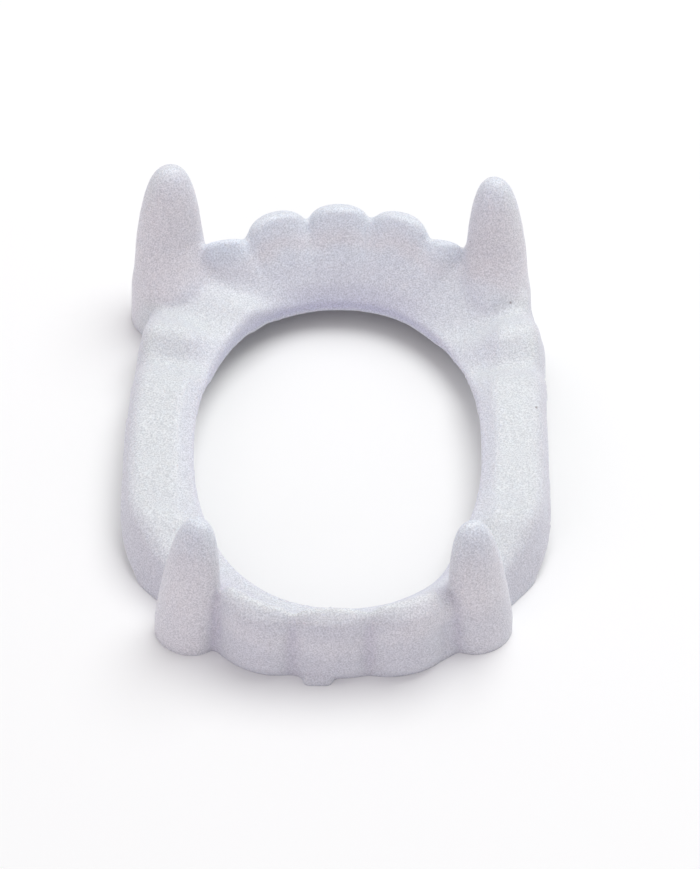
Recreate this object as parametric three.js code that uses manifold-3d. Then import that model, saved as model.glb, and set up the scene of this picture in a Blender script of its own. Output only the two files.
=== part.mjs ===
// A costume vampire denture, moulded in one piece of soft white plastic and laid open on a table.
// Lower teeth are at the front (-Y), upper teeth at the back (+Y), and all of them point up (+Z).
// A flat hinge strap on each side joins the two arches round an oval mouth opening.
// Under each arch the moulding is hollow, with a labial wall and a bite shelf for the wearer's teeth.
// Millimetres. The origin is on the table, in the middle of the denture's footprint.

import * as THREE from "three";
import { mergeVertices } from "three/addons/utils/BufferGeometryUtils.js";
import Module from "manifold-3d";

const wasm = await Module();
wasm.setup();

// Driving sizes
const width = 55.2; // across the two hinge straps
const depth = 74; // from the lower front teeth to the upper front teeth
const mouthWidth = 37.2; // the oval opening, between the straps
const mouthDepth = 56.6; // the oval opening, between the two bite shelves
const mouthSetForward = 1.1; // the oval's middle lies this far towards the lower teeth
const wall = 1.7; // the moulding's thickness under the teeth
const lowerRim = 9.6; // top of the lower arch between its teeth
const upperRim = 11; // top of the upper arch between its teeth
const lowerShelf = 5.7; // top of the lower bite shelf, at the mouth opening
const upperShelf = 5.7; // top of the upper bite shelf, at the mouth opening
const upperLip = 3.2; // the upper bite shelf is thicker along the mouth opening
const lipWidth = 1.3;
const strapTop = 7.4; // the flat top of a strap above the table
const strapThickness = 2.2;
const strapFlat = 6; // width of the flat top
const strapInnerDrop = 1; // the strap's inner edge lies this much lower than its flat top
const cornerSlope = 3.2; // how far the walls lean in where a strap comes down to the table
const shoulder = 0.9; // rounding along the top edges
const labialBulge = 0.7; // how far the teeth stand out of the arch's wall
const lowerToothHeight = 10.2;
const upperToothHeight = 14;
const lowerFangHeight = 19.4;
const upperFangHeight = 23;
const lowerFangWidth = 8.8;
const upperFangWidth = 10.8;
const lowerToothDepth = 4.4; // from the front of a tooth to its back
const upperToothDepth = 2.8;
const lowerFangDepth = 7;
const upperFangDepth = 9.4;
const gateWidth = 3.6; // the stub left where the plastic was fed into the mould
const gateReach = 0.8;
const gateHeight = 1.1;
const gateOffCentre = 2.4;

// Fineness of the faceting
const stepsPerRow = 4;
const stepsPerToothRow = 9;
const slopeSteps = 4;
const crownSides = 20;
const domeSteps = 5;

const halfWidth = width / 2;
const halfDepth = depth / 2;
const archMiddle = gateReach / 2; // leaves room in front for the gate stub
const mouthMiddle = archMiddle - mouthSetForward;
const mouthSquareness = 2.2; // 2 is an ellipse, and more is squarer
const crownSquareness = 2.3;
const belowTable = -1; // cutters start here, so that they leave no skin
const strapUnderside = strapTop - strapThickness;
const strapEdge = strapTop - strapInnerDrop;

// The ring of the denture, one row for each section of its right half, from the lower front teeth
// round the strap to the upper front teeth. x and y place the foot of the outer wall, as shares of
// half the width and half the depth. angle is the section's place on the mouth opening, in degrees
// from the front. rim and edge are shares of the heights that the row's zone names. lift is a
// share of the strap's underside height, lean of the corner slope and flat of the strap's flat top.
// hollow bends the slope behind the teeth: 0 is straight and 1 is a square step.
const zones = {
  lower: { rim: lowerRim, edge: lowerShelf },
  strap: { rim: strapTop, edge: strapEdge },
  upper: { rim: upperRim, edge: upperShelf },
};
const ringRows = [
  { at: "lower middle", zone: "lower", x: 0, y: -0.981, angle: 0, rim: 1, edge: 1, lift: 0, lean: 0.19, flat: 0.12, hollow: 0.75 },
  { at: "lower tooth", zone: "lower", x: 0.362, y: -0.957, angle: 24, rim: 1, edge: 1, lift: 0, lean: 0.19, flat: 0.12, hollow: 0.75 },
  { at: "lower fang", zone: "lower", x: 0.64, y: -0.815, angle: 41, rim: 0.85, edge: 1.05, lift: 0, lean: 0.35, flat: 0.2, hollow: 0.45 },
  { at: "lower end", zone: "strap", x: 0.797, y: -0.665, angle: 50, rim: 0.82, edge: 0.92, lift: 0, lean: 0.85, flat: 0.35, hollow: 0.1 },
  { at: "front corner", zone: "strap", x: 0.915, y: -0.55, angle: 56, rim: 0.95, edge: 0.96, lift: 0.05, lean: 1, flat: 0.55, hollow: 0 },
  { at: "strap foot", zone: "strap", x: 0.98, y: -0.415, angle: 61, rim: 1, edge: 0.98, lift: 0.25, lean: 0.6, flat: 0.85, hollow: 0 },
  { at: "strap front", zone: "strap", x: 0.998, y: -0.3, angle: 68, rim: 1, edge: 1, lift: 0.88, lean: 0.2, flat: 1, hollow: 0 },
  { at: "strap middle", zone: "strap", x: 1, y: 0, angle: 91, rim: 1, edge: 1, lift: 1, lean: 0.16, flat: 1, hollow: 0 },
  { at: "strap back", zone: "strap", x: 0.993, y: 0.31, angle: 112, rim: 0.97, edge: 0.96, lift: 1, lean: 0.16, flat: 1, hollow: 0 },
  { at: "strap dip", zone: "strap", x: 0.975, y: 0.43, angle: 119, rim: 0.9, edge: 0.92, lift: 0.82, lean: 0.2, flat: 0.95, hollow: 0 },
  { at: "strap knuckle", zone: "strap", x: 0.955, y: 0.58, angle: 127, rim: 1.08, edge: 0.9, lift: 0.3, lean: 0.4, flat: 0.8, hollow: 0.1 },
  { at: "upper end", zone: "upper", x: 0.95, y: 0.69, angle: 134, rim: 0.66, edge: 1.1, lift: 0, lean: 0.5, flat: 0.5, hollow: 0.1 },
  { at: "upper fang", zone: "upper", x: 0.81, y: 0.8, angle: 143, rim: 0.84, edge: 1.1, lift: 0, lean: 0.22, flat: 0.2, hollow: 0.2 },
  { at: "upper small tooth", zone: "upper", x: 0.55, y: 0.85, angle: 154, rim: 0.97, edge: 1.05, lift: 0, lean: 0.19, flat: 0.1, hollow: 0.3 },
  { at: "upper side tooth", zone: "upper", x: 0.315, y: 0.95, angle: 166, rim: 1, edge: 1, lift: 0, lean: 0.19, flat: 0.1, hollow: 0.35 },
  { at: "upper middle", zone: "upper", x: 0, y: 0.981, angle: 180, rim: 1, edge: 1, lift: 0, lean: 0.19, flat: 0.1, hollow: 0.35 },
];

// The teeth between the fangs, from left to right. x and wide are shares of half the width, and
// tall is a share of the arch's tooth height. point is how round its top is: 2 is round, less is peaked.
const upperTeeth = [
  { x: -0.553, wide: 0.17, tall: 0.85, point: 2.4 },
  { x: -0.315, wide: 0.304, tall: 0.965, point: 2 },
  { x: 0.004, wide: 0.333, tall: 1, point: 2.2 },
  { x: 0.317, wide: 0.293, tall: 0.965, point: 2.1 },
  { x: 0.54, wide: 0.152, tall: 0.85, point: 1.6 },
];
const lowerTeeth = [
  { x: -0.384, wide: 0.355, tall: 1, point: 2.6 },
  { x: -0.029, wide: 0.355, tall: 1, point: 2.8 },
  { x: 0.326, wide: 0.355, tall: 1, point: 2.6 },
];

// The four fangs. x and y are the middle of its foot, and toX and toY are how far its tip leans
// from there, all as shares of half the width and half the depth. tall and wide are shares of its
// arch's fang sizes, and turn is how far its front is turned round, in degrees, from the table's -Y.
const upperFangs = [
  { x: -0.84, y: 0.8, toX: 0.025, toY: 0.11, turn: 20, tall: 1, wide: 1 },
  { x: 0.79, y: 0.78, toX: -0.03, toY: 0.1, turn: -20, tall: 0.95, wide: 0.9 },
];
const lowerFangs = [
  { x: -0.69, y: -0.79, toX: 0.08, toY: 0.035, turn: -35, tall: 1, wide: 1 },
  { x: 0.655, y: -0.785, toX: -0.06, toY: 0.03, turn: 35, tall: 0.97, wide: 1 },
];

// A fang's outline, from its lobed foot to its rounded tip: height, width and depth as shares.
const fangRows = [
  { up: 0, wide: 0.95, deep: 0.95 },
  { up: 0.13, wide: 1, deep: 1 },
  { up: 0.35, wide: 0.94, deep: 0.92 },
  { up: 0.55, wide: 0.85, deep: 0.82 },
  { up: 0.7, wide: 0.76, deep: 0.72 },
  { up: 0.82, wide: 0.65, deep: 0.62 },
  { up: 0.91, wide: 0.51, deep: 0.5 },
  { up: 0.97, wide: 0.33, deep: 0.33 },
];
const toothFoot = { wide: 0.95, deep: 0.66 };
const toothWaist = { up: 0.45, wide: 1, deep: 0.8 };
const toothDome = 0.7; // share of a tooth's height where its rounded top begins
const toothOverlap = 1.04; // neighbouring crowns run into each other, which leaves a groove

function mix(a, b, share) {
  return a + (b - a) * share;
}

function signedPower(value, power) {
  return Math.sign(value) * Math.abs(value) ** power;
}

// A point on the mouth opening, in plan, at an angle from its front.
function mouthPoint(degrees) {
  const angle = THREE.MathUtils.degToRad(degrees);
  return new THREE.Vector2(
    (mouthWidth / 2) * signedPower(Math.sin(angle), 2 / mouthSquareness),
    mouthMiddle - (mouthDepth / 2) * signedPower(Math.cos(angle), 2 / mouthSquareness),
  );
}

// The real sizes of one table row.
function sizesOf(row) {
  return {
    x: row.x * halfWidth,
    y: archMiddle + row.y * halfDepth,
    angle: row.angle,
    rim: row.rim * zones[row.zone].rim,
    edge: row.edge * zones[row.zone].edge,
    lift: row.lift * strapUnderside,
    lean: row.lean * cornerSlope,
    flat: row.flat * strapFlat,
    hollow: row.hollow,
  };
}

// A Catmull-Rom curve through four values in a row, between the middle two.
function smooth(before, from, to, after, share) {
  const startSlope = (to - before) / 2;
  const endSlope = (after - from) / 2;
  const s2 = share * share;
  const s3 = s2 * share;
  return (
    (2 * s3 - 3 * s2 + 1) * from +
    (s3 - 2 * s2 + share) * startSlope +
    (3 * s2 - 2 * s3) * to +
    (s3 - s2) * endSlope
  );
}

// The upper teeth have no backs of their own: the slope behind them runs on up to their tips.
function scallopedRim({ x, y, rim }) {
  if (y < 0) return rim;
  const heights = upperTeeth.map((tooth) => {
    const off = (2 * Math.abs(x - tooth.x * halfWidth)) / (tooth.wide * halfWidth);
    if (off >= 1) return rim;
    return mix(rim, tooth.tall * upperToothHeight, (1 - off ** tooth.point) ** (1 / tooth.point));
  });
  return Math.max(...heights);
}

// The sections of the whole ring, anticlockwise from the lower middle: the right half's rows,
// smoothed in between, and then their mirror images on the left.
function ringStations() {
  const rows = ringRows.map(sizesOf);
  const last = rows.length - 1;
  const mirrored = (row) => ({ ...row, x: -row.x, angle: -row.angle });
  const rowAt = (index) => {
    if (index < 0) return mirrored(rows[-index]);
    if (index > last) {
      const other = mirrored(rows[2 * last - index]);
      return { ...other, angle: other.angle + 360 };
    }
    return rows[index];
  };
  const right = [];
  for (let index = 0; index < last; index++) {
    const near = [-1, 0, 1, 2].map((offset) => rowAt(index + offset));
    const steps = ringRows[index].zone === "upper" ? stepsPerToothRow : stepsPerRow;
    for (let step = 0; step < steps; step++) {
      const station = {};
      for (const column of Object.keys(rows[0])) {
        station[column] = smooth(...near.map((row) => row[column]), step / steps);
      }
      station.lift = Math.max(station.lift, 0);
      right.push(station);
    }
  }
  const left = right.slice(1).reverse().map(mirrored);
  return [...right, rows[last], ...left].map((station) => ({ ...station, crest: scallopedRim(station) }));
}

const stations = ringStations();

// The top of the moulding at one station, as points [in from the outer wall's foot, height].
function skinProfile(station) {
  const foot = new THREE.Vector2(station.x, station.y);
  const reach = foot.distanceTo(mouthPoint(station.angle));
  const { rim, crest, edge, lift, lean, flat, hollow } = station;
  const inner = lean + shoulder + flat;
  const points = [
    [0, lift],
    [lean * 0.55, mix(lift, crest, 0.5)],
    [lean, crest - shoulder],
    [lean + shoulder * 0.3, crest - shoulder * 0.3],
    [lean + shoulder, crest],
    [inner, crest],
  ];
  const bend = [mix((inner + reach) / 2, inner + shoulder, hollow), mix((rim + edge) / 2, edge, hollow)];
  for (let step = 1; step <= slopeSteps; step++) {
    const share = step / slopeSteps;
    const near = [0, 1].map((axis) => mix([inner, crest][axis], bend[axis], share));
    const far = [0, 1].map((axis) => mix(bend[axis], [reach, edge][axis], share));
    points.push([mix(near[0], far[0], share), mix(near[1], far[1], share)]);
  }
  return points;
}

// The height of a profile at a distance in from the outer wall's foot.
function heightAt(profile, inward) {
  for (let i = 1; i < profile.length; i++) {
    const [fromX, fromZ] = profile[i - 1];
    const [toX, toZ] = profile[i];
    if (inward <= toX) return mix(fromZ, toZ, (inward - fromX) / Math.max(toX - fromX, 1e-6));
  }
  return profile[profile.length - 1][1];
}

// A station's profile points in space. Each runs inwards from the wall's foot to the mouth opening.
function place(station, profile) {
  const foot = new THREE.Vector2(station.x, station.y);
  const inward = mouthPoint(station.angle).sub(foot).normalize();
  return profile.map(([along, z]) => new THREE.Vector3(foot.x + inward.x * along, foot.y + inward.y * along, z));
}

// A closed body through rings of points. It is capped at both ends, or joined end to end.
function loft(rings, joined) {
  const sides = rings[0].length;
  const positions = rings.flat().flatMap((point) => point.toArray());
  const faces = [];
  const quad = (a, b, c, d) => faces.push(a, b, c, a, c, d);
  const spans = joined ? rings.length : rings.length - 1;
  for (let i = 0; i < spans; i++) {
    const here = i * sides;
    const next = ((i + 1) % rings.length) * sides;
    for (let k = 0; k < sides; k++) {
      const other = (k + 1) % sides;
      quad(here + k, here + other, next + other, next + k);
    }
  }
  if (!joined) {
    for (const [ring, start, flip] of [[rings[0], 0, true], [rings[rings.length - 1], (rings.length - 1) * sides, false]]) {
      const middle = ring.reduce((sum, point) => sum.add(point), new THREE.Vector3()).divideScalar(sides);
      const hub = positions.length / 3;
      positions.push(...middle.toArray());
      for (let k = 0; k < sides; k++) {
        const pair = [start + k, start + ((k + 1) % sides)];
        faces.push(hub, ...(flip ? pair.reverse() : pair));
      }
    }
  }
  const geometry = new THREE.BufferGeometry();
  geometry.setAttribute("position", new THREE.Float32BufferAttribute(positions, 3));
  geometry.setIndex(faces);
  return geometry;
}

function solidOf(geometry) {
  const bare = geometry.clone();
  bare.deleteAttribute("normal");
  bare.deleteAttribute("uv");
  const merged = mergeVertices(bare, 1e-4);
  const vertProperties = merged.attributes.position.array;
  const triVerts = new Uint32Array(merged.index.array);
  const solid = new wasm.Manifold(new wasm.Mesh({ numProp: 3, vertProperties, triVerts }));
  if (solid.volume() > 0) return solid;
  return new wasm.Manifold(new wasm.Mesh({ numProp: 3, vertProperties, triVerts: triVerts.reverse() }));
}

function geometryOf(solid) {
  const mesh = solid.getMesh();
  const geometry = new THREE.BufferGeometry();
  geometry.setAttribute("position", new THREE.BufferAttribute(mesh.vertProperties, 3));
  geometry.setIndex(new THREE.BufferAttribute(mesh.triVerts, 1));
  return geometry;
}

// How thick the moulding is along the mouth opening.
function lipOf(station) {
  return station.y > 0 ? upperLip : wall;
}

// The ring's skin, closed below by a flat rim and a line up to the lip of the mouth opening.
function ringBody() {
  const rings = stations.map((station) => {
    const skin = skinProfile(station);
    const [reach, edge] = skin[skin.length - 1];
    const under = Math.max(edge - lipOf(station), station.lift);
    return place(station, [...skin, [reach, under], [wall, station.lift]]);
  });
  return solidOf(loft(rings, true));
}

// The room under the skin for the wearer's teeth: all that lies more than a wall's thickness
// below it. It fades out where the straps begin.
function hollowBody() {
  const samples = 9;
  const plain = stations.filter((station, i) => i % 2 === 0);
  const rings = plain.map((station) => {
    const skin = skinProfile({ ...station, crest: station.rim });
    const [reach, edge] = skin[skin.length - 1];
    const inside = [];
    for (let i = 0; i <= samples; i++) {
      const inward = mix(wall, reach + wall, i / samples);
      let roof = Infinity;
      for (let offset = -wall; offset <= wall + 1e-9; offset += wall / 4) {
        const sample = inward + offset;
        if (sample < 0 || sample > reach + wall) continue;
        roof = Math.min(roof, heightAt(skin, sample) - Math.sqrt(Math.max(wall * wall - offset * offset, 0)));
      }
      if (inward > reach - lipWidth) roof = Math.min(roof, edge - lipOf(station));
      if (station.lift > 0) roof = Math.min(roof, strapUnderside - 0.1);
      inside.push([inward, Math.max(roof, belowTable / 2)]);
    }
    return place(station, [[wall, belowTable], ...inside, [reach + wall, belowTable]]);
  });
  return solidOf(loft(rings, true));
}

// The foot of the outer wall at a place across the denture, and the way out from it, in plan.
function footAt(x, isUpper) {
  const here = stations.filter((station) => (isUpper ? station.y > 0 : station.y < 0));
  const nearest = here.reduce((best, station) => (Math.abs(station.x - x) < Math.abs(best.x - x) ? station : best));
  const index = stations.indexOf(nearest);
  const before = stations[(index + stations.length - 1) % stations.length];
  const after = stations[(index + 1) % stations.length];
  const along = new THREE.Vector2(after.x - before.x, after.y - before.y).normalize();
  const out = new THREE.Vector2(along.y, -along.x);
  const slide = (x - nearest.x) / (Math.abs(along.x) > 0.2 ? along.x : Math.sign(along.x) * 0.2);
  return { foot: new THREE.Vector2(nearest.x, nearest.y).addScaledVector(along, slide), along, out };
}

// One level ring of a crown: a rounded oblong, standing with its front on the arch's labial face.
function crownRing(stand, wide, deep, z, shift) {
  const ring = [];
  const setIn = deep / 2 - labialBulge;
  for (let k = 0; k < crownSides; k++) {
    const angle = (2 * Math.PI * k) / crownSides;
    const across = (wide / 2) * signedPower(Math.cos(angle), 2 / crownSquareness);
    const outwards = (deep / 2) * signedPower(Math.sin(angle), 2 / crownSquareness) - setIn;
    const point = stand.foot.clone().addScaledVector(stand.along, across).addScaledVector(stand.out, outwards);
    ring.push(new THREE.Vector3(point.x + shift.x, point.y + shift.y, z));
  }
  return ring;
}

function toothSolid(tooth, isUpper) {
  const tall = tooth.tall * (isUpper ? upperToothHeight : lowerToothHeight);
  const deep = isUpper ? upperToothDepth : lowerToothDepth;
  const wide = tooth.wide * halfWidth * toothOverlap;
  const stand = footAt(tooth.x * halfWidth, isUpper);
  const draft = stand.out.clone().multiplyScalar(-0.19 * cornerSlope);
  const ringAt = (up, width, thick) =>
    crownRing(stand, width * wide, thick * deep, up * tall, draft.clone().multiplyScalar(up));
  const rings = [ringAt(0, toothFoot.wide, toothFoot.deep), ringAt(toothWaist.up, toothWaist.wide, toothWaist.deep)];
  for (let step = 0; step <= domeSteps; step++) {
    const angle = (0.97 * Math.PI * step) / (2 * domeSteps);
    const shrink = Math.cos(angle) ** (2 / tooth.point);
    const rise = Math.sin(angle) ** (2 / tooth.point);
    rings.push(ringAt(mix(toothDome, 1, rise), shrink, mix(0.35, 0.9, shrink)));
  }
  return solidOf(loft(rings, false));
}

function fangSolid(fang, isUpper) {
  const tall = fang.tall * (isUpper ? upperFangHeight : lowerFangHeight);
  const wide = fang.wide * (isUpper ? upperFangWidth : lowerFangWidth);
  const deep = fang.wide * (isUpper ? upperFangDepth : lowerFangDepth);
  const turn = THREE.MathUtils.degToRad(fang.turn);
  const ringAt = (up, width, thick) => {
    const ring = [];
    for (let k = 0; k < crownSides; k++) {
      const angle = (2 * Math.PI * k) / crownSides;
      const point = new THREE.Vector2((width / 2) * Math.cos(angle), (thick / 2) * Math.sin(angle));
      point.rotateAround(new THREE.Vector2(), turn);
      point.x += (fang.x + fang.toX * up) * halfWidth;
      point.y += archMiddle + (fang.y + fang.toY * up) * halfDepth;
      ring.push(new THREE.Vector3(point.x, point.y, up * tall));
    }
    return ring;
  };
  const top = fangRows[fangRows.length - 1];
  const rings = fangRows.map((row) => ringAt(row.up, row.wide * wide, row.deep * deep));
  rings.push(ringAt(1, top.wide * wide * 0.3, top.deep * deep * 0.3));
  return solidOf(loft(rings, false));
}

function gateStub() {
  const { foot } = footAt(-gateOffCentre, false);
  const front = archMiddle - halfDepth - gateReach;
  const long = foot.y + labialBulge - front;
  const block = new THREE.BoxGeometry(gateWidth, long, gateHeight);
  return solidOf(block.translate(-gateOffCentre, front + long / 2, gateHeight / 2));
}

function dentureGeometry() {
  const crowns = [
    ...lowerTeeth.map((tooth) => toothSolid(tooth, false)),
    ...upperTeeth.map((tooth) => toothSolid(tooth, true)),
    ...lowerFangs.map((fang) => fangSolid(fang, false)),
    ...upperFangs.map((fang) => fangSolid(fang, true)),
  ];
  let body = ringBody();
  for (const crown of crowns) body = body.add(crown);
  const geometry = geometryOf(body.add(gateStub()).subtract(hollowBody()));
  geometry.computeBoundingBox();
  const middle = geometry.boundingBox.getCenter(new THREE.Vector3());
  return geometry.translate(-middle.x, -middle.y, -geometry.boundingBox.min.z);
}

const plastic = new THREE.MeshStandardMaterial({ color: 0xe4e4ea, roughness: 0.5, metalness: 0 });
const denture = new THREE.Mesh(dentureGeometry(), plastic);
denture.name = "fang_denture";

const group = new THREE.Group();
group.add(denture);

export default group;
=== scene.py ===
# %% [markdown]
# # A vampire fang denture in soft white plastic
# The real object is a costume denture moulded in one piece and laid open on a table.
# The lower teeth are in front and the upper teeth behind, and all of them point up.
# A CAD model of it has been packed already, so this lesson dresses that frame: we read its
# size, model the moulding by hand, give it its plastic, and light it as in the photograph.

# %% Open the frame
import math

import bmesh
import bpy
import numpy as np
from mathutils import Euler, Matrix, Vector
from mathutils.bvhtree import BVHTree


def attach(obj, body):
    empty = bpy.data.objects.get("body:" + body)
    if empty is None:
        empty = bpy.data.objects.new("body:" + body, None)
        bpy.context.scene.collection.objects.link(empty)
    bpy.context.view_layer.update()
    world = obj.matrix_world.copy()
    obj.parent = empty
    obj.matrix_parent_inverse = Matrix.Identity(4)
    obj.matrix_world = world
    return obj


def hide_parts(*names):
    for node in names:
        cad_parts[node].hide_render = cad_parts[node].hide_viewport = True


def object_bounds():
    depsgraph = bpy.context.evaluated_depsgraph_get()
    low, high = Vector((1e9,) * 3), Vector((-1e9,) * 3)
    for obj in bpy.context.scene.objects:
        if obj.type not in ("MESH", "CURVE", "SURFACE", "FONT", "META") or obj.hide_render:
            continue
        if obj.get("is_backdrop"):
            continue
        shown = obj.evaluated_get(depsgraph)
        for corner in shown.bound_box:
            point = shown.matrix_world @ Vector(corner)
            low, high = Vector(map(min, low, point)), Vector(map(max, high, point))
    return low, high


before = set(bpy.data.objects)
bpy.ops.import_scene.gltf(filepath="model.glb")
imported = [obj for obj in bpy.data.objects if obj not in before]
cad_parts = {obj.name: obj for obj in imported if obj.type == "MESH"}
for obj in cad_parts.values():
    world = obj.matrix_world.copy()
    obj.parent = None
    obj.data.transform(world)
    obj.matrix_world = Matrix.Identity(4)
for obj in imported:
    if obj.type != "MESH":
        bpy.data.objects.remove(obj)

cad_low, cad_high = (Vector(corner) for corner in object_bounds())
print("CAD box in mm:", [round(side * 1000, 1) for side in cad_high - cad_low])

# %% [markdown]
# Every size below follows the frame's own box, so the picture and the CAD model agree.
# A denture is a few centimetres across and Blender counts in metres, so small sizes such as
# the thickness of the plastic are written as a number of millimetres.
# The straps' middle is a little to the right of the box's middle, because the left upper fang
# has the wider gum lobe.

# %% Sizes taken from the frame
MM = 0.001
width, depth, height = cad_high - cad_low
strap_half = 0.4928 * width
arch_half = 0.4947 * depth
middle = Vector((0.4 * MM, 0.4 * MM, 0))
lower_fang = 0.843 * height
strap_top = 0.322 * height
strap_under = 0.226 * height
mouth_half_width = 0.3321 * width
mouth_half_depth = 0.3783 * depth
mouth_forward = 1.1 * MM
wall = 1.7 * MM
below = -1.2 * MM
print("strap half width", round(strap_half / MM, 1), "arch half depth", round(arch_half / MM, 1))

# %% [markdown]
# Nearly all the modelling happens in edit mode, where an operator acts on whatever is selected.
# A few small helpers keep that tidy. One deselects everything, because the frame arrives
# selected. One selects vertices by where they are. One applies a modifier, so that the shape
# it makes becomes the mesh itself.

# %% Helpers for selecting and for applying modifiers
def deselect_all():
    if bpy.context.object and bpy.context.object.mode != "OBJECT":
        bpy.ops.object.mode_set(mode="OBJECT")
    bpy.ops.object.select_all(action="DESELECT")


def activate(piece):
    deselect_all()
    piece.select_set(True)
    bpy.context.view_layer.objects.active = piece


def pick(piece, wanted, kind="verts"):
    """In edit mode, select only the vertices or faces for which wanted(element) is true."""
    mesh = bmesh.from_edit_mesh(piece.data)
    bpy.ops.mesh.select_all(action="DESELECT")
    for element in getattr(mesh, kind):
        if wanted(element):
            element.select = True
    mesh.select_flush_mode()
    bmesh.update_edit_mesh(piece.data)


def finish_modifier(piece, kind, **settings):
    activate(piece)
    modifier = piece.modifiers.new(kind.lower(), kind)
    for name, value in settings.items():
        setattr(modifier, name, value)
    bpy.ops.object.modifier_apply(modifier=modifier.name)


# %% [markdown]
# ## The ring
# The two arches and the two hinge straps are one continuous ring round the mouth opening.
# It could be carved from a slab, but its section changes all the way round: a tall wall with a
# slope behind it at the teeth, and a flat band at the straps. So we draw one section as a small
# polygon and extrude it from station to station, moving its corners each time.
# The table says what the right half's main stations are like, from the lower middle tooth round
# the strap to the upper middle tooth. x and y are shares of the half width and half depth, angle
# is the place on the mouth opening, and the rest are shares of the sizes that follow.

# %% The stations of the ring
heights = {
    "lower": {"rim": 0.385 * height, "edge": 0.248 * height},
    "strap": {"rim": strap_top, "edge": strap_top - 1.0 * MM},
    "upper": {"rim": 0.478 * height, "edge": 0.26 * height},
}
corner_slope = 3.2 * MM
strap_flat = 6.0 * MM
COLUMNS = (
    "x", "y", "angle", "rim", "edge", "lip", "lift", "lean", "flat", "hollow", "round", "roll",
)
STATIONS = [
    # name, zone, and then the columns above
    ("lower middle", "lower", 0.0, -0.981, 0, 1, 0.97, 1.7, 0, 0.19, 0, 0.7, 1.1, 0.5),
    ("lower tooth", "lower", 0.362, -0.957, 24, 1, 1, 1.7, 0, 0.19, 0.05, 0.7, 1.3, 0.5),
    ("lower fang", "lower", 0.64, -0.815, 41, 0.95, 1.0, 1.7, 0, 0.25, 0.25, 0.45, 1.5, 0.6),
    ("lower end", "strap", 0.797, -0.665, 50, 0.82, 0.9, 1.7, 0, 0.3, 0.3, 0.1, 1.8, 0.6),
    ("front corner", "strap", 0.915, -0.55, 56, 0.9, 0.95, 1.7, 0.05, 0.35, 0.4, 0, 2.2, 0.6),
    ("strap foot", "strap", 0.98, -0.415, 61, 1.03, 1.01, 1.7, 0.25, 0.3, 0.7, 0, 2.0, 0.6),
    ("strap front", "strap", 0.998, -0.27, 69, 0.97, 0.98, 1.7, 0.88, 0.2, 0.9, 0, 1.6, 0.6),
    ("strap middle", "strap", 1.0, 0.0, 91, 1, 1, 1.7, 1, 0.16, 0.95, 0, 1.5, 0.6),
    ("strap back", "strap", 0.995, 0.27, 109, 0.99, 0.98, 1.9, 0.88, 0.16, 0.95, 0, 1.5, 0.6),
    ("strap dip", "strap", 0.985, 0.385, 117, 0.84, 0.9, 1.8, 0.7, 0.2, 0.9, 0, 1.5, 0.7),
    ("knuckle", "strap", 0.975, 0.51, 125, 1.12, 0.97, 2.2, 0.4, 0.25, 0.9, 0.1, 1.6, 1.0),
    ("knuckle end", "strap", 0.965, 0.635, 133, 0.94, 0.95, 2.4, 0, 0.4, 0.5, 0.1, 1.6, 0.8),
    ("upper end", "upper", 0.94, 0.7, 139, 0.67, 0.8, 2.0, 0, 0.4, 0.5, -0.1, 1, 0.6),
    ("upper fang", "upper", 0.81, 0.8, 146, 0.9, 0.8, 2.0, 0, 0.22, 0.05, -0.25, 0.8, 0.5),
    ("upper small tooth", "upper", 0.55, 0.85, 155, 0.95, 0.8, 2.0, 0, 0.19, 0.05, -0.35, 0.7, 0.4),
    ("upper side tooth", "upper", 0.315, 0.95, 167, 1, 0.8, 2.2, 0, 0.19, 0.05, -0.45, 0.7, 0.3),
    ("upper middle", "upper", 0.0, 0.981, 180, 1, 0.8, 2.2, 0, 0.19, 0.05, -0.5, 0.7, 0.3),
]
# The two halves aren't quite the same. On the left the strap's middle stands further out, and the
# bite shelf beside the upper fang is high and flat. On the right the knuckle stands further out,
# the slope comes down beside it, and the shelf beside the lower fang is steep.
CHANGES = {
    ("front corner", -1): {"x": 0.925},
    ("strap foot", -1): {"x": 0.995},
    ("strap front", -1): {"x": 1.014},
    ("strap middle", -1): {"x": 1.014},
    ("lower tooth", 1): {"edge": 0.85, "lip": 1.2, "hollow": -0.2},
    ("lower fang", 1): {"edge": 0.74, "lip": 0.8, "hollow": -0.2},
    ("lower end", 1): {"edge": 0.84, "lip": 1.2},
    ("strap dip", -1): {"lip": 2.4, "lift": 0.6},
    ("knuckle", -1): {"lip": 2.8, "lift": 0.35},
    ("knuckle end", -1): {"edge": 1.0, "lip": 2.9},
    ("upper end", -1): {"edge": 1.13, "lip": 3.4, "roll": 0.8, "hollow": 0.3},
    ("upper fang", -1): {"edge": 1.2, "lip": 4.0, "roll": 0.8, "hollow": 0.45},
    ("upper small tooth", -1): {"edge": 0.95, "lip": 2.8, "hollow": -0.1},
    ("strap back", 1): {"x": 1.006, "y": 0.25, "edge": 0.95, "lip": 1.6, "flat": 0.85},
    ("strap dip", 1): {"x": 1.008, "y": 0.36, "rim": 0.82, "edge": 0.78, "lip": 0.9, "flat": 0.7},
    ("knuckle", 1): {"x": 1.008, "edge": 0.72, "lip": 1.0, "flat": 0.7, "roll": 0.7},
    ("knuckle end", 1): {"x": 0.99, "edge": 0.74, "lip": 1.4, "flat": 0.4, "roll": 0.6},
    ("upper end", 1): {"x": 0.97, "rim": 0.75, "flat": 0.2},
}
print(len(STATIONS), "main stations on the half ring")


# %% [markdown]
# Seventeen stations would leave corners in plan, so a smooth curve through the table's numbers
# gives the stations in between, more of them where the teeth are. The left half repeats the
# right one the other way round. A strap that is lifted less than least_lift stands on the table.

# %% Stations in between
STEPS = {"lower": 14, "strap": 4, "upper": 12}
least_lift = 0.4 * MM


def mix(a, b, share):
    return a + (b - a) * share


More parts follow.
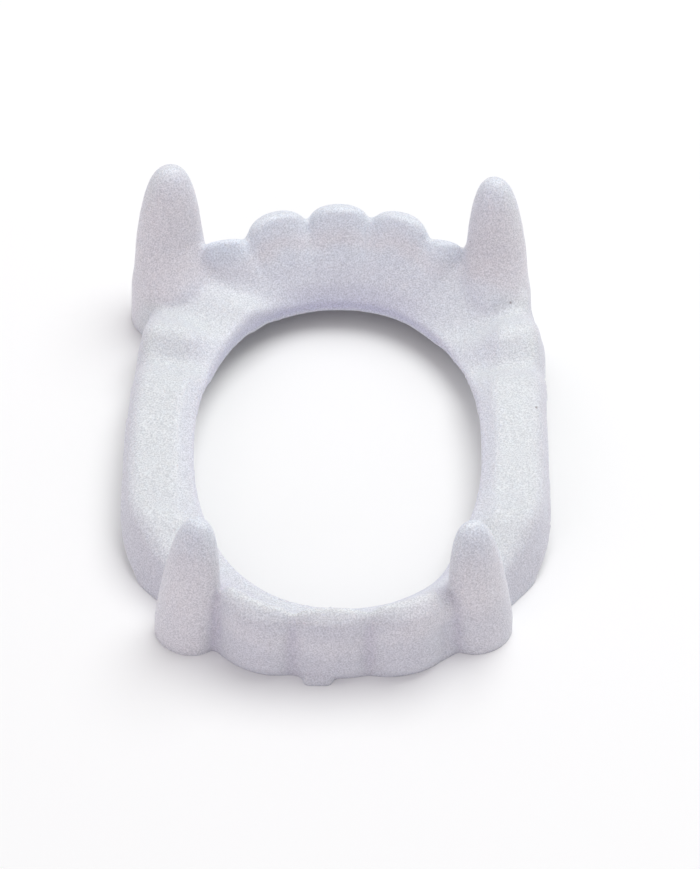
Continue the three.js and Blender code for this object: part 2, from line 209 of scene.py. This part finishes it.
def measures(row, side):
    """The real sizes of one row of the table, on the right (1) or the left (-1)."""
    cell = dict(zip(COLUMNS, row[2:]))
    cell.update(CHANGES.get((row[0], side), {}))
    zone = heights[row[1]]
    return {
        "x": side * cell["x"] * strap_half,
        "y": cell["y"] * arch_half,
        "angle": side * cell["angle"],
        "rim": cell["rim"] * zone["rim"],
        "edge": cell["edge"] * zone["edge"],
        "lift": cell["lift"] * strap_under,
        "lean": cell["lean"] * corner_slope,
        "flat": cell["flat"] * strap_flat,
        "hollow": cell["hollow"],
        "lip": cell["lip"] * MM,
        "round": cell["round"] * MM,
        "roll": cell["roll"] * MM,
    }


def curve(before, start, end, after, share):
    """A smooth curve through four numbers, between the middle two."""
    rise, fall = (end - before) / 2, (after - start) / 2
    bend = 2 * (start - end) + rise + fall
    return start + share * (rise + share * (3 * (end - start) - 2 * rise - fall + share * bend))


def half_ring(side):
    """All stations of one half, from the lower middle to the upper middle."""
    rows = [measures(row, side) for row in STATIONS]
    before = measures(STATIONS[1], -side)
    beyond = measures(STATIONS[-2], -side)
    beyond["angle"] += side * 360
    rows = [before, *rows, beyond]
    line = []
    for index in range(1, len(rows) - 2):
        steps = STEPS[STATIONS[index - 1][1]]
        near = rows[index - 1:index + 3]
        for step in range(steps):
            station = {key: curve(*(m[key] for m in near), step / steps) for key in before}
            station["lift"] = station["lift"] if station["lift"] > least_lift else 0
            line.append(station)
    return [*line, rows[-2]]


right_half, left_half = half_ring(1), half_ring(-1)
stations = [*right_half, *reversed(left_half[1:-1])]
print(len(stations), "stations all round")

# %% [markdown]
# The teeth between the fangs have no gaps between them: each is a bulge of the arch's outer face
# and a scallop of its crest, and two neighbours meet in a groove. So they belong to the ring.
# Each row says where a tooth is, how high it stands, how round its top is, how far its face
# stands out, and how much thicker it is in its middle than at its edges. Between two teeth the
# face sinks in by the depth of the groove.

# %% The teeth between the fangs
TEETH = [
    # arch, middle, half width, tall in mm, roundness, out in mm, thick in mm
    ("lower", -0.37, 0.172, 10.8, 3.2, 1.1, 0.4),
    ("lower", -0.026, 0.173, 10.8, 3.2, 1.2, 0.4),
    ("lower", 0.319, 0.172, 11.1, 3.2, 1.1, 0.4),
    ("upper", -0.595, 0.118, 13.0, 2.6, 0.6, 0.2),
    ("upper", -0.322, 0.155, 14.6, 2.7, 0.9, 0.6),
    ("upper", 0.003, 0.17, 14.95, 2.5, 0.9, 0.6),
    ("upper", 0.32, 0.15, 14.5, 2.7, 0.9, 0.6),
    ("upper", 0.555, 0.095, 12.6, 2.2, 0.6, 0.2),
]
groove = 0.3 * MM
face_squareness = 2.6


def add_tooth(m):
    """The crest height, the outward bulge and the extra thickness at one station."""
    m["crest"], m["out"], m["thick"] = m["rim"], 0.0, 0.0
    for arch, place, half, tall, roundness, out, thick in TEETH:
        off = abs(m["x"] / strap_half - place) / half
        if off >= 1 or (arch == "lower") != (m["y"] < 0):
            continue
        dome = (1 - off ** roundness) ** (1 / roundness)
        m["crest"] = max(m["crest"], mix(m["rim"], tall * MM, dome))
        m["out"] = mix(out * MM, -groove, off ** face_squareness)
        m["thick"] = thick * MM * (1 - off ** 2)


for station in stations:
    add_tooth(station)
print("highest crest in mm:", round(max(station["crest"] for station in stations) / MM, 1))


# %% [markdown]
# Each section runs from the foot of the outer wall over the crest, down the slope behind the
# teeth to the mouth opening, and back underneath. The opening is an oval, a little squarer than an
# ellipse. The slope is a curve with one bend. hollow says how far it sags towards a square step,
# and below zero it bulges instead. A tooth's height and thickness fade away down this slope.

# %% The mouth opening and the slope down to it
mouth_squareness = 2.2
least_slope = 1.5 * MM


def mouth_point(degrees):
    """A point of the mouth opening's oval, in plan."""
    squareness = 2 / mouth_squareness
    side, front = math.sin(math.radians(degrees)), math.cos(math.radians(degrees))
    x = mouth_half_width * math.copysign(abs(side) ** squareness, side)
    y = -mouth_half_depth * math.copysign(abs(front) ** squareness, front)
    return Vector((x, y - mouth_forward, 0))


def reach_of(m):
    return (mouth_point(m["angle"]) - Vector((m["x"], m["y"], 0))).length


def slope(m, steps):
    """Points (inward, height) from the back of the crest to the edge of the mouth opening."""
    end_along = reach_of(m) - m["roll"]
    inner = min(m["lean"] + m["round"] + m["flat"], end_along - least_slope)
    start, end = Vector((inner, m["rim"])), Vector((end_along, m["edge"]))
    bend = Vector((
        mix((inner + end_along) / 2, inner, m["hollow"]),
        mix((m["rim"] + m["edge"]) / 2, m["edge"], m["hollow"]),
    ))
    tooth = Vector((m["thick"], m["crest"] - m["rim"]))
    line = []
    for step in range(steps + 1):
        share = step / steps
        point = start.lerp(bend, share).lerp(bend.lerp(end, share), share)
        line.append(point + tooth * (1 - share) ** 3)
    return line


oval = [round(2 * half / MM, 1) for half in (mouth_half_width, mouth_half_depth)]
print("the oval in mm:", oval)

# %% [markdown]
# The outer wall leans in as it rises and bulges outwards in front of a tooth. WALL says so with
# three points between its foot and its shoulder. The first number is the share of the lean that
# the point has by then, the second the share of the bulge, and the third how far up it is. tuck
# draws the foot in. round and roll are the rounding of the crest's outer edge and of the edge of
# the mouth opening, and each has a point of its own that cuts the sharp corner off.

# %% The corners of one section
WALL = [(0, 0.95, 0.27), (0.35, 1, 0.5), (0.75, 1, 0.78)]
tuck = 0.3 * MM
corner = 0.3


def ring_section(m):
    """Points (inward, height) all round one section of the moulding."""
    crest, lean, out, bevel = m["crest"], m["lean"], m["out"], m["round"]
    reach, roll = reach_of(m), m["roll"]
    foot = m["lift"] if m["lift"] > 0 else below
    shoulder = crest - bevel
    return [
        (tuck, foot),
        *((leant * lean - bulged * out, mix(foot, shoulder, up)) for leant, bulged, up in WALL),
        (lean - 0.8 * out, shoulder),
        (lean + corner * bevel, crest - corner * bevel),
        (lean + bevel, crest),
        *slope(m, 4),
        (reach - corner * roll, m["edge"] - corner * roll),
        (reach, m["edge"] - roll),
        (reach, max(m["edge"] - m["lip"], m["lift"])),
        (wall, foot),
    ]


# %% [markdown]
# The extrusion itself is the same few strokes again and again: extrude the end face, then take
# hold of each corner of the new face and move it to where the next section wants it. The last
# section lands on the first, so the two are merged and the faces between them are deleted.

# %% Extrude a section round the ring
def move_corners(piece, corners, targets):
    """Take hold of each corner of the selected end face and move it to its new place."""
    mesh = bmesh.from_edit_mesh(piece.data)
    fresh = [vert for vert in mesh.verts if vert.select]
    order = [min(fresh, key=lambda vert: (vert.co - corner).length).index for corner in corners]
    for index, target in zip(order, targets):
        mesh = bmesh.from_edit_mesh(piece.data)
        mesh.verts.ensure_lookup_table()
        step = target - mesh.verts[index].co
        bpy.ops.mesh.select_all(action="DESELECT")
        mesh.verts[index].select = True
        bmesh.update_edit_mesh(piece.data)
        bpy.ops.transform.translate(value=step)
    pick(piece, lambda vert: vert.index in order)


def extrude_round(name, section, stride):
    """A closed ring body: one polygon, extruded through every stride-th station and back."""
    places = []
    for m in stations[::stride]:
        foot = Vector((m["x"], m["y"], 0))
        inward = (mouth_point(m["angle"]) - foot).normalized()
        places.append([foot + inward * along + Vector((0, 0, z)) for along, z in section(m)])
    deselect_all()
    bpy.ops.mesh.primitive_circle_add(vertices=len(places[0]), radius=MM, fill_type="NGON")
    piece = bpy.context.object
    piece.name = name
    bpy.ops.object.mode_set(mode="EDIT")
    bpy.ops.mesh.select_mode(type="VERT")
    mesh = bmesh.from_edit_mesh(piece.data)
    corners = [vert.co.copy() for vert in mesh.verts]
    move_corners(piece, corners, places[0])
    for before, after in zip(places, [*places[1:], places[0]]):
        bpy.ops.mesh.extrude_region_move()
        move_corners(piece, before, after)
    ends = len(places[0])
    pick(piece, lambda face: len(face.verts) == ends, "faces")
    bpy.ops.mesh.delete(type="ONLY_FACE")
    bpy.ops.mesh.select_all(action="SELECT")
    bpy.ops.mesh.remove_doubles(threshold=0.001 * MM)
    bpy.ops.mesh.normals_make_consistent(inside=False)
    bpy.ops.transform.translate(value=middle)
    bpy.ops.object.mode_set(mode="OBJECT")
    print(name, "has", len(piece.data.polygons), "faces")
    return piece


ring = extrude_round("ring", ring_section, 1)


# %% [markdown]
# Under its teeth the moulding is hollow, where the wearer's own teeth go. We make the core that
# leaves this channel as a second ring body. Everything that gets into it is cut away with a
# Boolean, as the steel core of the real mould keeps the plastic out.

# %% The core of the tooth channels
lip_width = 1.3 * MM
strap_clearance = 0.1 * MM
ROOF = (0, 0.1, 0.25, 0.4, 0.55, 0.7, 0.85, 1)
AROUND = (-1, -0.75, -0.5, -0.25, 0, 0.25, 0.5, 0.75, 1)


def height_at(profile, inward):
    """The height of a section's top at a distance in from the foot of the outer wall."""
    if inward <= profile[0][0]:
        return mix(profile[0][1], 0, (profile[0][0] - inward) / profile[0][0])
    for (from_x, from_z), (to_x, to_z) in zip(profile, profile[1:]):
        if inward <= to_x:
            return mix(from_z, to_z, (inward - from_x) / max(to_x - from_x, 1e-9))
    return profile[-1][1]


def core_section(m):
    """Its roof stays a wall's thickness below every point of the skin, and below the lip."""
    reach = reach_of(m)
    skin = ring_section({**m, "crest": m["rim"]})[4:-2]
    roof = []
    for share in ROOF:
        inward = mix(wall, reach + wall, share)
        room = math.inf
        for part in AROUND:
            arc = wall * math.sqrt(1 - part * part)
            room = min(room, height_at(skin, inward + part * wall) - arc)
        if inward > reach - lip_width:
            room = min(room, m["edge"] - m["lip"])
        if m["lift"] > 0:
            room = min(room, strap_under - strap_clearance)
        roof.append((inward, max(room, 0.5 * below)))
    return [(wall, 2 * below), *roof, (reach + wall, 2 * below)]


core = extrude_round("core", core_section, 2)

# %% [markdown]
# ## The fangs
# A fang is a blunt peg on a lobe of gum. We lay down a disc at its foot, extrude it upwards a
# step at a time, and resize each new ring, so the table reads like the fang's outline: how far
# up, how wide, how deep, and how far forward its middle is. The last rings close in fast, which
# rounds the tip. The left and right fangs of a real moulding are never quite the same, so each
# has its own row.

# %% A crown grown from a disc
crown_sides = 28


def grow_crown(name, foot, lean, tall, wide, deep, turn, outline):
    """foot is its place in plan and lean is where its tip goes from there."""
    deselect_all()
    bpy.ops.mesh.primitive_circle_add(vertices=crown_sides, radius=0.5, fill_type="NGON")
    crown = bpy.context.object
    crown.name = name
    bpy.ops.object.mode_set(mode="EDIT")
    first = outline[0]
    bpy.ops.transform.resize(value=(wide * first[1], deep * first[2], 1))
    bpy.ops.transform.translate(value=(0, 0, below))
    straight = Vector((lean[0], lean[1], 0))
    straight.rotate(Euler((0, 0, -turn)))
    place = Vector((0, 0, below))
    for before, after in zip(outline, outline[1:]):
        target = straight * after[0] + Vector((0, -after[3] * deep, tall * after[0]))
        bpy.ops.mesh.extrude_region_move(TRANSFORM_OT_translate={"value": target - place})
        shrink = (after[1] / before[1], after[2] / before[2], 1)
        bpy.ops.transform.resize(value=shrink, center_override=target)
        place = target
    bpy.ops.mesh.select_all(action="SELECT")
    bpy.ops.mesh.normals_make_consistent(inside=False)
    bpy.ops.object.mode_set(mode="OBJECT")
    crown.rotation_euler.z = turn
    crown.location = Vector((foot[0], foot[1], 0)) + middle
    bpy.ops.object.transform_apply(location=True, rotation=True, scale=True)
    return crown


# %% [markdown]
# All four fangs share one tip. An upper fang stands on a bigger lobe of gum, which reaches forward
# to the end of the knuckle, so its outline has rows of its own below the tip.

# %% The four fangs
TIP = [
    # up, wide, deep, forward
    (0.55, 0.85, 0.82, 0),
    (0.7, 0.76, 0.72, 0),
    (0.82, 0.65, 0.62, 0),
    (0.89, 0.55, 0.54, 0),
    (0.94, 0.45, 0.44, 0),
    (0.975, 0.33, 0.32, 0),
    (0.995, 0.19, 0.18, 0),
    (1, 0.06, 0.06, 0),
]
LOWER_FANG = [(0, 0.95, 0.95, 0), (0.13, 1, 1, 0), (0.35, 0.94, 0.92, 0), *TIP]
UPPER_FANG = [
    (0, 0.98, 1.2, 0.14),
    (0.13, 1.05, 1.32, 0.17),
    (0.28, 1.04, 1.32, 0.18),
    (0.36, 0.96, 1.2, 0.14),
    (0.45, 0.9, 0.99, 0.06),
    *TIP,
]
FANGS = [
    # name, outline, x, y, lean x, lean y, tall, wide, deep, turn
    ("upper left fang", UPPER_FANG, -0.84, 0.8, 0.025, 0.11, height, 10.8, 9.4, 20),
    ("upper right fang", UPPER_FANG, 0.79, 0.745, -0.03, 0.135, 0.95 * height, 9.7, 8.5, -20),
    ("lower left fang", LOWER_FANG, -0.69, -0.79, 0.08, 0.035, lower_fang, 8.8, 7, -35),
    ("lower right fang", LOWER_FANG, 0.655, -0.785, -0.06, 0.03, 0.97 * lower_fang, 8.8, 7, 35),
]
fangs = []
for name, outline, x, y, lean_x, lean_y, tall, wide, deep, turn in FANGS:
    foot = (x * strap_half, y * arch_half)
    lean = (lean_x * strap_half, lean_y * arch_half)
    turned = math.radians(turn)
    fangs.append(grow_crown(name, foot, lean, tall, wide * MM, deep * MM, turned, outline))
print("grew", len(fangs), "fangs")

# %% [markdown]
# A small stub is left at the foot of the lower teeth, where the plastic ran into the mould and
# was snapped off. It is a cube with its edges bevelled.

# %% The gate stub
gate_wide, gate_deep, gate_tall = 3.6 * MM, 2.4 * MM, 1.1 * MM
gate_across = -2.0 * MM
gate_middle = (gate_across, cad_low.y + gate_deep / 2, gate_tall / 2 + below / 2)
deselect_all()
bpy.ops.mesh.primitive_cube_add(size=1, location=gate_middle)
gate = bpy.context.object
gate.name = "gate stub"
gate.scale = (gate_wide, gate_deep, gate_tall - below)
bpy.ops.object.transform_apply(location=True, rotation=True, scale=True)
bpy.ops.object.mode_set(mode="EDIT")
bpy.ops.mesh.select_all(action="SELECT")
bpy.ops.mesh.bevel(offset=0.4 * MM, segments=3)
bpy.ops.object.mode_set(mode="OBJECT")
print(gate.name, "has", len(gate.data.polygons), "faces")

# %% [markdown]
# ## Fusing it into one moulding
# Each piece loses what stands in the core. Then all are joined, and a voxel remesh melts them
# into a single skin. A voxel of about a third of a millimetre keeps the grooves and still stays
# under 200,000 triangles. Smoothing rounds the creases where the pieces met, as melted plastic
# does.

# %% Cut, join, remesh and smooth
for piece in [ring, *fangs]:
    finish_modifier(piece, "BOOLEAN", operation="DIFFERENCE", object=core, solver="EXACT")
activate(ring)
for piece in [*fangs, gate]:
    piece.select_set(True)
bpy.ops.object.join()
denture = bpy.context.object
denture.name = "denture"
denture.data.name = "denture"
bpy.data.objects.remove(core)
voxel = 0.36 * MM
finish_modifier(denture, "REMESH", mode="VOXEL", voxel_size=voxel)
finish_modifier(denture, "SMOOTH", factor=0.5, iterations=8)
print("fused skin:", len(denture.data.polygons), "faces")

# %% [markdown]
# So far the walls run on below the table, because smoothing would have rounded their feet. A block
# whose top is just above the table's level now cuts them off, which leaves the sharp flat rim that
# the denture stands on. The frame is told that this piece takes the place of the CAD solid.

# %% Cut the flat rim
deselect_all()
bpy.ops.mesh.primitive_cube_add(size=1, location=(0, 0, -10 * MM), scale=(0.1, 0.1, 20.02 * MM))
table_block = bpy.context.object
finish_modifier(denture, "BOOLEAN", operation="DIFFERENCE", object=table_block, solver="EXACT")
bpy.data.objects.remove(table_block)
bpy.ops.object.shade_smooth_by_angle(angle=math.radians(40))
triangles = sum(len(face.vertices) - 2 for face in denture.data.polygons)
print("denture:", triangles, "triangles")

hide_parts("fang_denture")
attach(denture, "root")

# %% [markdown]
# ## The plastic
# Soft plastic is milky. Light goes a little way in before it comes out again. So a thick fang
# looks warm, and its thin tip looks bluish. Shade is painted into the colour as well: faces turned
# outwards get a darker pinkish painted shade, a slope that faces the mouth gets a bluish painted
# shade, the lip of the opening gets the darkest painted shade, and the grooves between the lower
# teeth get painted shade too. We measure all of this on the finished skin and keep it as
# attributes of the mesh, which the material then reads.
# Rays shot through the plastic say how thick it is. One goes straight in, and the others go both
# ways along x and y from a point inside. The normal says which way the skin faces.

# %% Measure thickness and facing
longest_ray = 12 * MM
just_inside, well_inside = 0.1 * MM, 1.5 * MM
warm_from, warm_over = 3.6 * MM, 2.2 * MM
thin_below, thin_over = 5 * MM, 2.5 * MM

skin_mesh = denture.data
rays = BVHTree.FromPolygons(
    [vert.co for vert in skin_mesh.vertices],
    [tuple(face.vertices) for face in skin_mesh.polygons],
)
thickness, thinness, facing = [], [], []


def ray_length(start, towards):
    """How far a ray runs inside the plastic before it comes out."""
    distance = rays.ray_cast(start, towards, longest_ray)[3]
    return longest_ray if distance is None else distance


for vert in skin_mesh.vertices:
    depth_here = ray_length(vert.co - vert.normal * just_inside, -vert.normal)
    inside = vert.co - vert.normal * min(depth_here / 2, well_inside)
    for along in (Vector((1, 0, 0)), Vector((0, 1, 0))):
        depth_here = min(depth_here, ray_length(inside, along) + ray_length(inside, -along))
    thickness.append(min(max((depth_here - warm_from) / warm_over, 0), 1))
    thinness.append(min(max((thin_below - depth_here) / thin_over, 0), 1))
    # How far the skin turns towards or away from the mouth decides where shade is painted.
    to_mouth = Vector((middle.x - vert.co.x, -mouth_forward - vert.co.y)).normalized()
    facing.append(vert.normal.xy.dot(to_mouth))
print("measured", len(thickness), "points of the skin")

# %% [markdown]
# Light that wanders inside the plastic blurs what we measured, so each value is averaged with its
# neighbours' several times over. The same averaging finds the grooves: a point that lies below the
# average of its surroundings, seen along its normal, is in a groove.
# Only the lower arch's grooves get the painted groove shade. The lip's painted shade stays low down,
# and the thin tint stays high up, on the upper teeth and the tips of the fangs.

# %% Spread the measures and keep them
full_groove = 0.22 * MM
lip_below, lip_over = 7 * MM, 3 * MM
tip_above_lower, tip_above_upper, tip_over = 12 * MM, 8.5 * MM, 4 * MM


def spread(values, passes):
    """Average each value with its neighbours along the edges, several times over."""
    ends = np.array([edge.vertices[:] for edge in skin_mesh.edges])
    level = np.array(values)
    count = np.bincount(ends.ravel(), minlength=len(level)) + 1
    for _ in range(passes):
        total = level.copy()
        np.add.at(total, ends[:, 0], level[ends[:, 1]])
        np.add.at(total, ends[:, 1], level[ends[:, 0]])
        level = total / count
    return level


points = np.array([vert.co[:] for vert in skin_mesh.vertices])
normals = np.array([vert.normal[:] for vert in skin_mesh.vertices])
# A point sunk below its neighbours is in a groove, and a groove gets painted shade.
sunken = 0
for axis in range(3):
    sunken = sunken + (spread(points[:, axis], 14) - points[:, axis]) * normals[:, axis]
lower_half = points[:, 1] < 0
facing = spread(facing, 6)
low_down = np.clip((lip_below - points[:, 2]) / lip_over, 0, 1)
tip_above = np.where(lower_half, tip_above_lower, tip_above_upper)
high_up = np.clip((points[:, 2] - tip_above) / tip_over, 0, 1)
measured = {
    "thickness": spread(thickness, 20),
    # painted bluish shade on slopes that face the mouth
    "painted_shade_mouth": np.clip(facing, 0, 1),
    # painted shade, the darkest, on the lip of the opening
    "lip": np.clip(facing, 0, 1) ** 4 * low_down,
    # painted darker pinkish shade on faces turned outwards
    "painted_shade_out": np.clip(-facing, 0, 1),
    # painted shade in the grooves between the lower teeth
    "painted_groove_shade": spread(np.clip(sunken / full_groove, 0, 1) * lower_half, 3),
    "tip": spread(thinness, 8) * high_up,
}
for name, values in measured.items():
    layer = skin_mesh.attributes.new(name, "FLOAT", "POINT")
    layer.data.foreach_set("value", values.astype(np.float32))
    print(name, "runs from", round(float(values.min()), 2), "to", round(float(values.max()), 2))

# %% [markdown]
# The shine is broad, light scatters about a millimetre deep, and a little sheen lifts the
# outlines. These are the same all over, so they are set on the shader itself. What changes over
# the surface comes from nodes, and four small helpers each add one kind of node.

# %% The plastic's shader and helpers for its nodes
plastic = bpy.data.materials.new("white plastic")
plastic.use_nodes = True
nodes, links = plastic.node_tree.nodes, plastic.node_tree.links
shader = nodes["Principled BSDF"]
shader.inputs["Roughness"].default_value = 0.5
shader.inputs["Subsurface Weight"].default_value = 0.35
shader.inputs["Subsurface Radius"].default_value = (1.0, 0.85, 0.75)
shader.inputs["Subsurface Scale"].default_value = 0.0015
shader.inputs["IOR"].default_value = 1.5
shader.inputs["Sheen Weight"].default_value = 0.2
shader.inputs["Sheen Roughness"].default_value = 0.5
shader.inputs["Sheen Tint"].default_value = (0.85, 0.9, 1.0, 1)
coordinates = nodes.new("ShaderNodeTexCoord")


def noise(scale, detail):
    texture = nodes.new("ShaderNodeTexNoise")
    texture.inputs["Scale"].default_value = scale
    texture.inputs["Detail"].default_value = detail
    links.new(coordinates.outputs["Object"], texture.inputs["Vector"])
    return texture.outputs["Fac"]


def attribute(name):
    reader = nodes.new("ShaderNodeAttribute")
    reader.attribute_name = name
    return reader.outputs["Fac"]


def ramp(factor, low, high, low_tint, high_tint):
    node = nodes.new("ShaderNodeValToRGB")
    for element, position, tint in zip(node.color_ramp.elements, (low, high), (low_tint, high_tint)):
        element.position = position
        element.color = (*tint, 1)
    links.new(factor, node.inputs["Fac"])
    return node.outputs["Color"]


def blend(factor, base, tint, mode="MIX"):
    """A colour mix: base where factor is 0 and tint where it is 1."""
    node = nodes.new("ShaderNodeMix")
    node.data_type = "RGBA"
    node.blend_type = mode
    for socket, value in ((0, factor), (6, base), (7, tint)):
        if isinstance(value, bpy.types.NodeSocket):
            links.new(value, node.inputs[socket])
        else:
            node.inputs[socket].default_value = value
    return node.outputs[2]


print("shader:", shader.name)

# %% [markdown]
# The colour starts from a bluish white that a slow noise lets drift a little, and one tint is
# mixed in for each attribute. The tints for thickness and for the thin tips are the plastic's own
# tone. The other four are painted shade: darker pinkish on outward faces, bluish on slopes facing
# the mouth, darkest on the lip, and dim in the lower grooves. A fine noise then gives the moulded
# skin its grain, in colour here and in relief below. A few dark specks are the dust that gets into
# cheap plastic: they are the middles of a cell pattern's cells.

# %% The plastic's colour and grain
TINTS = {
    # painted shade: faces turned outwards, darker and pinkish
    "painted_shade_out": (0.64, 0.634, 0.70, 1),
    # painted shade: slopes facing the mouth, bluish
    "painted_shade_mouth": (0.725, 0.73, 0.815, 1),
    # painted shade: the lip of the opening, darkest
    "lip": (0.53, 0.53, 0.68, 1),
    "thickness": (0.735, 0.715, 0.76, 1),
    # painted shade: the grooves between the lower teeth
    "painted_groove_shade": (0.58, 0.55, 0.64, 1),
    "tip": (0.72, 0.76, 0.84, 1),
}
white = ramp(noise(140, 3), 0.35, 0.65, (0.683, 0.703, 0.727), (0.703, 0.728, 0.752))
for name, tint in TINTS.items():
    white = blend(attribute(name), white, tint)
speckle = ramp(noise(5200, 1), 0.3, 0.7, (0.79, 0.79, 0.80), (1.16, 1.16, 1.15))
white = blend(1.0, white, speckle, "MULTIPLY")
dust = nodes.new("ShaderNodeTexVoronoi")
dust.inputs["Scale"].default_value = 150
links.new(coordinates.outputs["Object"], dust.inputs["Vector"])
specks = ramp(dust.outputs["Distance"], 0.02, 0.035, (0.5, 0.46, 0.46), (1.0, 1.0, 1.0))
white = blend(1.0, white, specks, "MULTIPLY")
links.new(white, shader.inputs["Base Color"])

bump = nodes.new("ShaderNodeBump")
bump.inputs["Strength"].default_value = 0.3
bump.inputs["Distance"].default_value = 0.0001
links.new(noise(1800, 3), bump.inputs["Height"])
links.new(bump.outputs["Normal"], shader.inputs["Normal"])
denture.data.materials.clear()
denture.data.materials.append(plastic)
print(plastic.name, "has", len(nodes), "nodes")

# %% [markdown]
# ## Floor, light and camera
# The photograph has a plain white background, so the denture lies on a large floor as pale and
# dull as paper. The floor is marked as stage, because it isn't part of the object.

# %% Floor
deselect_all()
bpy.ops.mesh.primitive_plane_add(size=6, location=(0, 0, 0))
floor = bpy.context.object
floor.name = "floor"
paper = bpy.data.materials.new("white paper")
paper.use_nodes = True
paper_shader = paper.node_tree.nodes["Principled BSDF"]
paper_shader.inputs["Base Color"].default_value = (0.93, 0.93, 0.93, 1)
paper_shader.inputs["Roughness"].default_value = 0.9
floor.data.materials.append(paper)
floor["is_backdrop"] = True
print("staged", floor.name)

# %% [markdown]
# The light is soft and comes from above and a little behind. A bright white world does most of
# it. A broad lamp overhead shapes the slopes, and a weak warm one in front keeps the faces of the
# lower teeth from going grey. The Standard view transform keeps whites white.

# %% Light
def add_lamp(name, where, size, power, tint):
    bpy.ops.object.light_add(type="AREA", location=where)
    lamp = bpy.context.object
    lamp.name = name
    lamp.data.shape = "DISK"
    lamp.data.size = size
    lamp.data.energy = power
    lamp.data.color = tint
    lamp.rotation_euler = (-Vector(where)).to_track_quat("-Z", "Y").to_euler()
    print(lamp.name, "gives", power, "W")


add_lamp("top lamp", (0.2, 0.3, 0.75), 0.7, 4.4, (0.98, 1.0, 0.99))
add_lamp("front fill", (-0.5, -0.7, 0.35), 0.5, 0.8, (1.0, 0.86, 0.95))
world = bpy.context.scene.world or bpy.data.worlds.new("studio")
bpy.context.scene.world = world
world.use_nodes = True
world.node_tree.nodes["Background"].inputs["Color"].default_value = (1.0, 0.98, 1.0, 1)
world.node_tree.nodes["Background"].inputs["Strength"].default_value = 0.56
bpy.context.scene.view_settings.view_transform = "Standard"

# %% [markdown]
# The camera looks down at 45 degrees from the side of the lower teeth. It stands 450 mm away with
# a long lens, so the arches hardly taper.

# %% Camera
tilt = math.radians(45)
aim = Vector((2.0, -0.4, 7.0)) * MM
away = Vector((0, -math.cos(tilt), math.sin(tilt))) * 450 * MM
camera_data = bpy.data.cameras.new("camera")
camera_data.lens = 143.7
camera = bpy.data.objects.new("camera", camera_data)
bpy.context.scene.collection.objects.link(camera)
camera.location = aim + away
camera.rotation_euler = (-away).to_track_quat("-Z", "Y").to_euler()
bpy.context.scene.camera = camera
print("camera lens:", round(camera_data.lens, 1), "mm")
